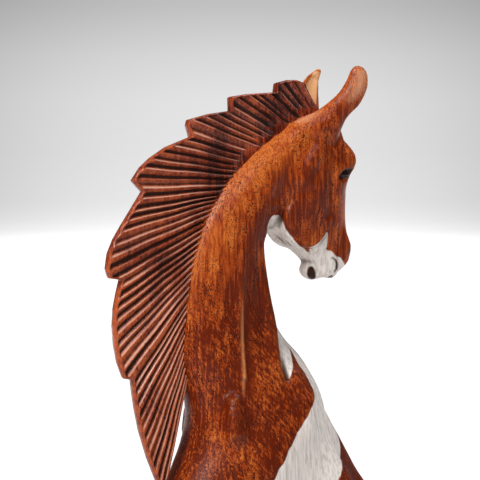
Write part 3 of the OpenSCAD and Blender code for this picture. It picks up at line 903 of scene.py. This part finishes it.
def make_plinth(material):
    """Turned profile: foot band, ogee and a softly rounded top."""
    low, high = (np.array(c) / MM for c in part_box("plinth"))
    bottom, top = low[2], high[2]
    profile = [(0.6, bottom), (0, bottom + 0.6), (0, bottom + 4.2), (0.4, bottom + 4.8),
               (1.1, bottom + 5)]
    turns = [k / 8 * math.pi / 2 for k in range(9)]
    for a in turns:
        profile.append((1.4 + 2 * (1 - math.cos(a)), bottom + 5.2 + 2.6 * math.sin(a)))
    for a in turns[1:]:
        profile.append((3.4 + 2.4 * math.sin(a) * 0.6, bottom + 7.8 + 2.2 * (1 - math.cos(a))))
    profile += [(4.9, bottom + 10.6), (5.2, top - 1), (5.6, top - 0.35), (6.4, top)]
    mesh = turned_mesh("plinth", high - low, profile, 48)
    place(add_object("moulded_plinth", mesh), "plinth", material)


def make_felt(material):
    low, high = (np.array(c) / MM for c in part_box("base_felt"))
    bottom, top = low[2], high[2]
    profile = [(0.5, bottom), (0.1, bottom + 0.25), (0, bottom + 0.7), (0, top - 0.1), (0.2, top)]
    mesh = turned_mesh("felt", high - low, profile, 64)
    place(add_object("felt_pad", mesh), "base_felt", material)


def turned_mesh(name, size, profile, steps):
    """A mesh with a profile of (inset, height) round a stadium, in metres."""
    rings = []
    for inset, z in profile:
        ring = oval(size[0] - 2 * inset, size[1] - 2 * inset, steps)
        rings.append(np.column_stack([ring, np.full(len(ring), z)]) * MM)
    return ring_mesh(name, rings)


# --- materials ---


class Nodes:
    """A node tree, built one call at a time."""

    def __init__(self, tree):
        self.tree = tree

    def node(self, kind, sockets=None, **settings):
        made = self.tree.nodes.new(kind)
        for key, value in settings.items():
            setattr(made, key, value)
        for key, value in (sockets or {}).items():
            self.feed(value, made.inputs[key])
        return made

    def feed(self, value, socket):
        if isinstance(value, bpy.types.NodeSocket):
            self.tree.links.new(value, socket)
        else:
            socket.default_value = value

    def math(self, operation, a, b):
        return self.node("ShaderNodeMath", {0: a, 1: b}, operation=operation).outputs[0]

    def plus(self, a, b):
        return self.math("ADD", a, b)

    def minus(self, a, b):
        return self.math("SUBTRACT", a, b)

    def times(self, a, b):
        return self.math("MULTIPLY", a, b)

    def ramp(self, value, low, high, out_low=0.0, out_high=1.0):
        """A smooth step from one output to another as a value goes from low to high."""
        return self.node("ShaderNodeMapRange", {
            "Value": value, "From Min": low, "From Max": high, "To Min": out_low,
            "To Max": out_high}, interpolation_type="SMOOTHSTEP").outputs[0]

    def mix(self, amount, a, b):
        """Colour b over colour a by an amount."""
        return self.node("ShaderNodeMix", {0: amount, 6: a, 7: b}, data_type="RGBA").outputs[2]


class Shader(Nodes):
    """The nodes of a new material, round its Principled BSDF."""

    def __init__(self, name):
        self.material = bpy.data.materials.new(name)
        self.material.use_nodes = True
        super().__init__(self.material.node_tree)
        self.bsdf = self.tree.nodes["Principled BSDF"]

    def position(self):
        return self.node("ShaderNodeTexCoord").outputs["Object"]

    def noise(self, squeeze, scale, detail=2, rough=0.5, distortion=0, slant=None):
        """Noise squeezed on each axis, or stretched along a grain slanted by some degrees."""
        if slant is None:
            where = self.node("ShaderNodeMapping", {0: self.position(), "Scale": squeeze})
        else:
            turn = (0, -math.radians(slant), 0)
            where = self.node("ShaderNodeMapping", {
                0: self.position(), "Rotation": turn, "Scale": squeeze}, vector_type="TEXTURE")
        return self.node("ShaderNodeTexNoise", {
            "Vector": where.outputs[0], "Scale": scale, "Detail": detail, "Roughness": rough,
            "Distortion": distortion}).outputs["Fac"]

    def attribute(self, name):
        return self.node("ShaderNodeAttribute", attribute_name=name).outputs["Fac"]

    def set(self, **sockets):
        for key, value in sockets.items():
            self.feed(value, self.bsdf.inputs[key.replace("_", " ")])

    def bump(self, height, strength, distance):
        made = self.node("ShaderNodeBump", {"Height": height, "Strength": strength,
                                            "Distance": distance})
        self.feed(made.outputs["Normal"], self.bsdf.inputs["Normal"])


BLACK_STAIN = (0.008, 0.002, 0.001, 1)
# painted highlight on the mane's ridges and the upper flanks of its locks
LOCK_HIGHLIGHT = (0.76, 0.41, 0.3, 1)
# painted highlight on the poll and the right ear
PATCH_HIGHLIGHT = (0.85, 0.46, 0.27, 1)
# painted highlight along the neck's ridge line
LINE_HIGHLIGHT = (0.75, 0.34, 0.13, 1)
BARE_WOOD = (0.72, 0.4, 0.19, 1)
# painted shade in the nostrils, the mouth, round the eyes and beside the chin
PAINTED_SHADE = (0.03, 0.008, 0.005, 1)
WHITE_PAINT = ((0.6, 0.52, 0.46, 1), (0.86, 0.8, 0.75, 1))
# white paint is darker in its hollows
DARKER_IN_HOLLOWS = (0.10, 0.07, 0.05, 1)


class Wood(Shader):
    """The noises that a stained wood's colour, gloss and relief share."""

    def __init__(self, name):
        super().__init__(name)
        self.cloud = self.noise((1, 1, 0.6), 42, 3, 0.55)
        self.blotch = self.noise((1, 1, 0.5), 170, 4, 0.62, 0.3)
        self.streak = self.noise((1, 1, 0.06), 1200, 3, 0.6, 0.3)
        self.fine = self.noise((1, 1, 0.35), 1900, 3, 0.65)
        split = self.node("ShaderNodeSeparateXYZ", {0: self.position()})
        self.height = split.outputs["Z"]
        roughness = self.minus(self.noise((1, 1, 0.6), 420), 0.5)
        self.hollow = self.plus(self.attribute("hollow"), self.times(roughness, 0.25))

    def tone(self, fade, painted):
        """How light the wood is, with painted shade and highlight: upright grain above, slanted
        grain below.
        """
        tone = self.plus(self.times(self.cloud, 0.36), self.times(self.blotch, 0.26))
        tone = self.plus(tone, self.times(self.streak, 0.38))
        # darker lower down by fade: painted shade on the body; the mane's negative fade lightens
        # its lower locks
        tone = self.minus(tone, self.ramp(self.height, 0.31, 0.235, -fade / 8, fade))
        if painted:
            # a painted highlight along the crest
            tone = self.plus(tone, self.ramp(self.attribute("crest_highlight"), -3, 4, 0, 0.09))
        grain = self.minus(self.noise((1, 1, 16), 1300, 3, 0.6, slant=38), 0.5)
        return self.plus(tone, self.times(grain, self.ramp(self.height, 0.265, 0.245, 0, 0.4)))

    def pores(self, amount):
        pore = self.noise((1, 1, 0.6), 2900, 0)
        patchy = self.ramp(self.blotch, 0.42, 0.56, 0.25, 1)
        return self.times(self.ramp(pore, 0.58, 0.68, 0, 0.9 * amount), patchy)

    def shade_and_highlights(self, colour, dark):
        """Painted shade along lines, and painted highlights on patches and along the neck's ridge.
        """
        # painted shade beside the neck's ridge and along lines on the head
        shaded = self.ramp(self.attribute("shaded_line"), -1.2, 0.8, 0, 0.55)
        colour = self.mix(shaded, colour, dark)
        # painted highlights on the poll's edges and the right ear
        highlight_patch = self.ramp(self.attribute("highlight_patch"), -3.2, 1.2, 0, 0.6)
        colour = self.mix(highlight_patch, colour, PATCH_HIGHLIGHT)
        # a painted highlight along the neck's ridge line
        ridge_highlight = self.ramp(self.attribute("highlight_line"), -1.0, 0.3, 0, 0.45)
        return self.mix(ridge_highlight, colour, LINE_HIGHLIGHT)

    def painted(self, colour):
        """White paint and painted shade with ragged edges, and the bare wood of the ear."""
        edge = self.minus(self.noise((1, 1, 0.25), 380, 3), 0.5)
        ragged = self.times(edge, 1.2)
        wander = self.minus(self.noise((1, 1, 1), 50), 0.5)
        wander = self.times(wander, self.ramp(self.height, 0.215, 0.19, 0, 14))
        cover = self.plus(self.plus(self.attribute("white"), ragged), wander)
        cover = self.ramp(cover, -0.25, 0.25)
        paint = self.mix(self.ramp(self.streak, 0.3, 0.62), *WHITE_PAINT)
        # the white paint is darker in its hollows
        paint = self.mix(self.ramp(self.hollow, 0.0, 0.4), paint, DARKER_IN_HOLLOWS)
        colour = self.mix(self.times(cover, 0.96), colour, paint)
        bare = self.ramp(self.plus(self.attribute("bare"), edge), -0.3, 0.4, 0, 0.85)
        colour = self.mix(bare, colour, BARE_WOOD)
        # painted shade beside the chin, round the eyes, in the nostrils and along the mouth
        dark = self.ramp(self.plus(self.attribute("dark"), ragged), -0.3, 0.4)
        return self.mix(dark, colour, PAINTED_SHADE)


def wood(name, light, middle, dark, pore_amount=1.0, shine=0.1, painted=False, fade=0.085,
         smoothest=0.26):
    """Stained and varnished wood, with pores, stain in its hollows and painted highlights on its
    edges.
    """
    s = Wood(name)
    tone = s.tone(fade, painted)
    colour = s.mix(s.ramp(tone, 0.42, 0.50), dark, middle)
    colour = s.mix(s.ramp(tone, 0.48, 0.60), colour, light)
    colour = s.mix(s.ramp(s.fine, 0.5, 0.66, 0, 0.55), colour, dark)
    pores = s.pores(pore_amount)
    colour = s.mix(pores, colour, BLACK_STAIN)
    # painted highlights on convex edges and ridges, and on the upper flanks of the mane's locks
    edges = s.ramp(s.hollow, -0.15, -0.42, 0, 0.15 if painted else 0.66)
    edges = s.times(edges, s.ramp(s.cloud, 0.38, 0.56, 0.25, 1))
    colour = s.mix(edges, colour, light if painted else LOCK_HIGHLIGHT)
    stain = s.ramp(s.hollow, 0.1, 0.6)
    colour = s.mix(s.times(stain, 0.92), colour, BLACK_STAIN)
    rough = s.ramp(s.fine, 0.4, 0.7, smoothest, smoothest + 0.12)
    rough = s.plus(rough, s.times(s.plus(stain, pores), 0.5))
    if painted:
        colour = s.painted(s.shade_and_highlights(colour, dark))
    s.set(Base_Color=colour, Roughness=rough, Specular_IOR_Level=shine)
    s.bump(s.minus(s.times(s.streak, 0.35), s.times(pores, 0.5)), 0.3, 0.0002)
    return s.material


def plain_wood(name, light, dark, smoothest):
    """Wood with its grain along X under a thin coat of varnish."""
    s = Shader(name)
    ring = s.noise((0.12, 1, 1), 240, 3, 0.6, 0.6)
    fibre = s.noise((0.03, 1, 1), 1700)
    tone = s.plus(s.times(ring, 0.6), s.times(fibre, 0.4))
    colour = s.mix(s.ramp(tone, 0.38, 0.62), dark, light)
    s.set(Base_Color=colour, Roughness=s.ramp(fibre, 0.3, 0.7, smoothest, smoothest + 0.15),
          Coat_Weight=0.35, Coat_Roughness=0.2)
    s.bump(fibre, 0.25, 0.0002)
    return s.material


def felt():
    """Green felt with fuzz and clumps."""
    s = Shader("felt")
    fuzz = s.noise((1, 1, 1), 2200, 4, 0.7)
    clump = s.noise((1, 1, 1), 350)
    tone = s.plus(s.times(fuzz, 0.6), s.times(clump, 0.4))
    colour = s.mix(s.ramp(tone, 0.35, 0.65), (0.012, 0.05, 0.03, 1), (0.04, 0.12, 0.07, 1))
    s.set(Base_Color=colour, Roughness=0.95, Sheen_Weight=0.4, Specular_IOR_Level=0.2)
    s.bump(fuzz, 0.7, 0.0004)
    return s.material


def eye_gloss():
    """Nearly black glass."""
    s = Shader("eye_gloss")
    haze = s.noise((1, 1, 1), 900)
    colour = s.mix(haze, (0.006, 0.004, 0.003, 1), (0.02, 0.011, 0.008, 1))
    s.set(Base_Color=colour, Roughness=s.ramp(haze, 0.3, 0.7, 0.06, 0.14),
          Specular_IOR_Level=0.35)
    s.bump(haze, 0.04, 0.0001)
    return s.material


def zinc():
    """The plinth screws' scuffed zinc."""
    s = Shader("zinc_screw")
    scuff = s.noise((1, 1, 0.2), 1400, 3)
    colour = s.mix(scuff, (0.42, 0.42, 0.43, 1), (0.66, 0.66, 0.67, 1))
    s.set(Base_Color=colour, Metallic=1.0, Roughness=s.ramp(scuff, 0.3, 0.7, 0.25, 0.42))
    s.bump(scuff, 0.1, 0.0001)
    return s.material


# --- camera, lights, floor ---

VIEW_TARGET = Vector((0.0158, 0, 0.2786))
VIEW_DISTANCE = 0.9
VIEW_WIDTH = 0.1728
VIEW_ANGLE = math.radians(-30)
SENSOR_WIDTH = 36


def make_camera():
    data = bpy.data.cameras.new("camera")
    data.sensor_width = SENSOR_WIDTH
    data.lens = SENSOR_WIDTH * VIEW_DISTANCE / VIEW_WIDTH
    camera = add_object("camera", data)
    back = Vector((math.sin(VIEW_ANGLE), -math.cos(VIEW_ANGLE), 0))
    camera.location = VIEW_TARGET + back * VIEW_DISTANCE
    camera.rotation_euler = (-back).to_track_quat("-Z", "Y").to_euler()
    bpy.context.scene.camera = camera


LAMP_SIZE = 0.36
LAMP_TARGET = Vector((0.02, 0, 0.25))


def make_light(name, location, power, colour):
    data = bpy.data.lights.new(name, "AREA")
    data.shape = "SQUARE"
    data.size = LAMP_SIZE
    data.energy = power
    data.color = colour
    lamp = add_object(name, data)
    lamp.location = location
    lamp.rotation_euler = (LAMP_TARGET - Vector(location)).to_track_quat("-Z", "Y").to_euler()


def make_floor():
    """A pale floor that turns into the backdrop's white away from the figure."""
    mesh = bpy.data.meshes.new("floor")
    half = 60.0
    mesh.from_pydata([(-half, -half, 0), (half, -half, 0), (half, half, 0), (-half, half, 0)], [],
                     [(0, 1, 2, 3)])
    floor = add_object("floor", mesh)
    s = Shader("floor")
    speck = s.noise((1, 1, 1), 3)
    distance = s.node("ShaderNodeVectorMath", {0: s.position()}, operation="LENGTH")
    glow = s.ramp(distance.outputs["Value"], 0.5, 1.9, 0.1, 1.0)
    s.set(Base_Color=s.mix(speck, (0.8, 0.8, 0.8, 1), (0.84, 0.84, 0.84, 1)), Roughness=0.8,
          Specular_IOR_Level=0.1, Emission_Color=(1, 1, 1, 1), Emission_Strength=glow)
    mesh.materials.append(s.material)


# (height of the view direction, grey) of the backdrop
BACKDROP = [(0.0, 1.0), (0.005, 0.76), (0.014, 0.65), (0.035, 0.61), (0.056, 0.59), (0.073, 0.53),
            (0.095, 0.4)]
# the same of the room that lights the figure
ROOM = [(0.0, 0.05), (0.3, 0.1), (1.0, 0.3)]


# a direction across the main view, and how much brighter the backdrop is in its middle
ACROSS_VIEW = (0.866, -0.5, 0)
MIDDLE_GLOW = 1.3


def grey_ramp(w, height, stops):
    """Greys by the height of the view direction."""
    made = w.node("ShaderNodeValToRGB", {0: height})
    elements = made.color_ramp.elements
    while len(elements) < len(stops):
        elements.new(1.0)
    for element, (position, grey) in zip(elements, stops):
        element.position = position
        element.color = (grey, grey, grey, 1)
    return made.outputs[0]


def darker_sides(w, direction, colour):
    """The backdrop's colour, brighter in the middle of the main view than at its sides."""
    aside = w.node("ShaderNodeVectorMath", {0: direction, 1: ACROSS_VIEW},
                   operation="DOT_PRODUCT").outputs["Value"]
    glow = w.node("ShaderNodeMapRange", {"Value": w.times(aside, aside), "From Max": 0.01,
                                         "To Min": MIDDLE_GLOW, "To Max": 1.0})
    return w.node("ShaderNodeVectorMath", {0: colour, "Scale": glow.outputs[0]},
                  operation="SCALE").outputs[0]


def make_world():
    """The camera sees a soft grey backdrop; the figure is lit by a dimmer room."""
    world = bpy.data.worlds.new("studio")
    bpy.context.scene.world = world
    world.use_nodes = True
    w = Nodes(world.node_tree)
    direction = w.node("ShaderNodeTexCoord").outputs["Generated"]
    height = w.node("ShaderNodeSeparateXYZ", {0: direction}).outputs["Z"]
    seen = darker_sides(w, direction, grey_ramp(w, height, BACKDROP))
    to_camera = w.node("ShaderNodeLightPath").outputs["Is Camera Ray"]
    colour = w.mix(to_camera, grey_ramp(w, height, ROOM), seen)
    w.feed(colour, w.tree.nodes["Background"].inputs["Color"])


def make_lights():
    make_light("key", (-0.62, -0.2, 0.85), 7, (1, 0.98, 0.95))
    make_light("top", (0.42, 0.05, 1.1), 6, (0.97, 0.98, 1))
    make_light("fill", (-0.35, -0.75, 1.1), 2.4, (0.96, 0.97, 1))
    bpy.context.scene.view_settings.view_transform = "Standard"


# --- the figure ---


# Each joint's saw cuts only the faces whose middle c is near the joint.


def near_body_joint(c):
    return c.z < 185


def near_head_joint(c):
    return c.z > 258.5 and c.x > 22


def saw_off_foreleg(block, rib):
    return saw_off(block, *joint_plane(rib, (1, 0, -1)),
                   lambda c: c.x > 40 and c.y * math.copysign(1, rib[4]) > 3 and c.z < 182)


def saw_off_hindleg(block, rib):
    return saw_off(block, *joint_plane(rib, (0, 0, -1)),
                   lambda c: c.z < 98 and c.y * rib[4] > 0)


def saw_off_ear(head, ear):
    """An ear from just above its foot."""
    run, rise = EARS[ear][3]
    foot = Vector(ear_point(ear, run, rise, 0))
    lean = 1 if ear == "right_ear" else 0
    up = Vector(ear_point(ear, run + lean, rise + 1, 0)) - foot
    return saw_off(head, foot, up.normalized(),
                   lambda c: c.y * foot.y > 20 and c.z > 303 and abs(c.x - foot.x) < 8)


def carve_upper(material):
    """The pieces above the body joint, in the finer clay."""
    clay, block = carve(*UPPER_BLOCK)
    for ribs in FORELEGS.values():
        saw_off_foreleg(block, ribs[LEG_JOINT]).free()
    above = saw_off(block, *joint_plane(BODY_JOINT, (0, 0, 1)), near_body_joint)
    block.free()
    head = saw_off(above, *joint_plane(HEAD_JOINT, (1, 0, 0)), near_head_joint)
    for node in EARS:
        finish_piece(node, saw_off_ear(head, node), clay, material)
    finish_piece("head", head, clay, material)
    finish_piece("forehand", above, clay, material)


def carve_lower(material):
    """The legs and the hindquarters, in the coarser clay."""
    clay, block = carve(*LOWER_BLOCK)
    for legs, cut in ((FORELEGS, saw_off_foreleg), (HINDLEGS, saw_off_hindleg)):
        for node, ribs in legs.items():
            finish_piece(node, cut(block, ribs[LEG_JOINT]), clay, material)
    below = saw_off(block, *joint_plane(BODY_JOINT, (0, 0, -1)), near_body_joint)
    block.free()
    finish_piece("hindquarters", below, clay, material)


HIDDEN_WOOD = ("body_dowels", "head_dowel", "foreleg_dowels", "hindleg_dowels", "tail_dowel",
               "mane_pegs", "ear_pegs")


def dress_cad_nodes():
    """The hidden CAD parts keep their shape and get real materials."""
    beech = plain_wood("beech", (0.62, 0.42, 0.24, 1), (0.45, 0.28, 0.15, 1), 0.5)
    for node in HIDDEN_WOOD:
        assign(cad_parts[node], beech)
    assign(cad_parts["plinth_screws"], zinc())


def assign(obj, material):
    for slot in obj.material_slots:
        slot.material = material


def main():
    make_camera()
    make_floor()
    make_world()
    make_lights()
    body = wood("stained_body", (0.56, 0.14, 0.023, 1), (0.33, 0.048, 0.006, 1),
                (0.12, 0.013, 0.002, 1), shine=0.16, painted=True)
    hair = wood("stained_mane", (0.46, 0.088, 0.022, 1), (0.22, 0.028, 0.007, 1),
                (0.045, 0.004, 0.001, 1), 0.5, shine=0.3, fade=-0.06, smoothest=0.22)
    carve_upper(body)
    carve_lower(body)
    make_mane(hair)
    make_tail(hair)
    gloss = eye_gloss()
    make_eye(1, "left_eye", gloss)
    make_eye(-1, "right_eye", gloss)
    make_plinth(plain_wood("stained_plinth", (0.12, 0.045, 0.02, 1), (0.035, 0.013, 0.007, 1),
                           0.3))
    make_felt(felt())
    dress_cad_nodes()


main()
